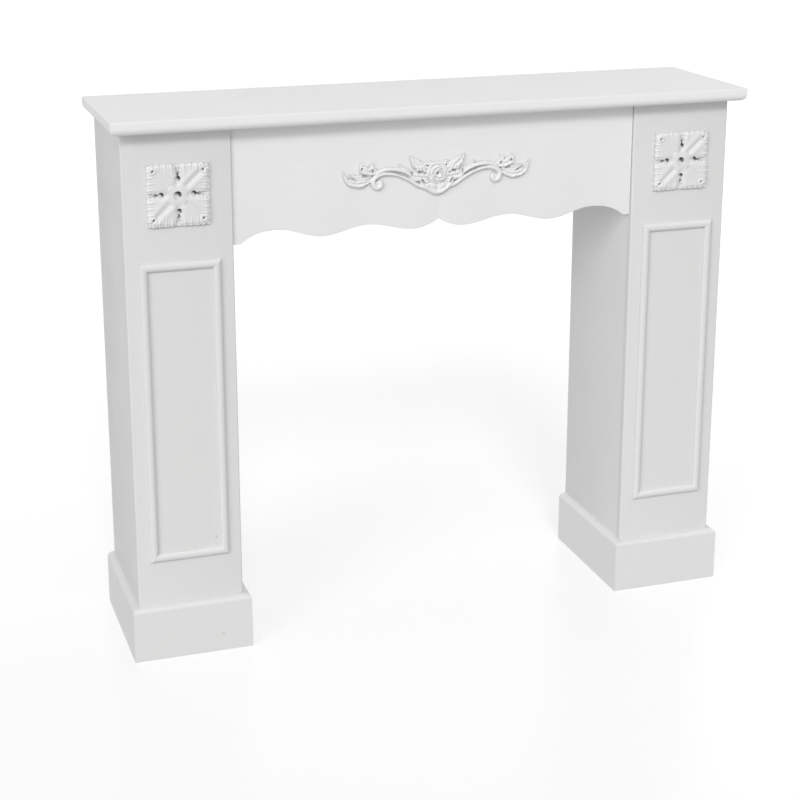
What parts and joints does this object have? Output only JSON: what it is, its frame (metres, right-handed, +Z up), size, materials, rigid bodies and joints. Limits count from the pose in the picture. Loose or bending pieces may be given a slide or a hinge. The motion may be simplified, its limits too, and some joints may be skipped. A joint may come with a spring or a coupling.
{
  "type": "fireplace mantelpiece",
  "caption": "Painted wooden fireplace surround: shelf, scalloped frieze with a carved rose spray, and box pilasters with rosettes, raised panels and plinths.",
  "frame": {"origin": "on the floor, midway between the two ends and midway between the wall and the shelf's front", "axes": "+Z up, +X along the shelf to the right of somebody who faces it, -Y out into the room"},
  "size_m": [1.195, 0.302, 1],
  "materials": {
    "painted_boards": "smooth white satin paint on board",
    "painted_mouldings": "smooth white satin paint on planed moulding",
    "painted_carvings": "white satin paint on carving, soft in the hollows"
  },
  "bodies": {
    "root": {"mantel_shelf": "painted_boards", "frieze_board": "painted_boards", "left_pilaster_front": "painted_boards", "left_pilaster_outer_side": "painted_boards", "left_pilaster_inner_side": "painted_boards", "left_plinth_front": "painted_boards", "left_plinth_outer_side": "painted_boards", "left_plinth_inner_side": "painted_boards", "right_pilaster_front": "painted_boards", "right_pilaster_outer_side": "painted_boards", "right_pilaster_inner_side": "painted_boards", "right_plinth_front": "painted_boards", "right_plinth_outer_side": "painted_boards", "right_plinth_inner_side": "painted_boards", "left_panel_moulding_top": "painted_mouldings", "left_panel_moulding_bottom": "painted_mouldings", "left_panel_moulding_inner": "painted_mouldings", "left_panel_moulding_outer": "painted_mouldings", "right_panel_moulding_top": "painted_mouldings", "right_panel_moulding_bottom": "painted_mouldings", "right_panel_moulding_inner": "painted_mouldings", "right_panel_moulding_outer": "painted_mouldings", "frieze_onlay": "painted_carvings", "left_rosette": "painted_carvings", "right_rosette": "painted_carvings"}
  },
  "joints": []
}
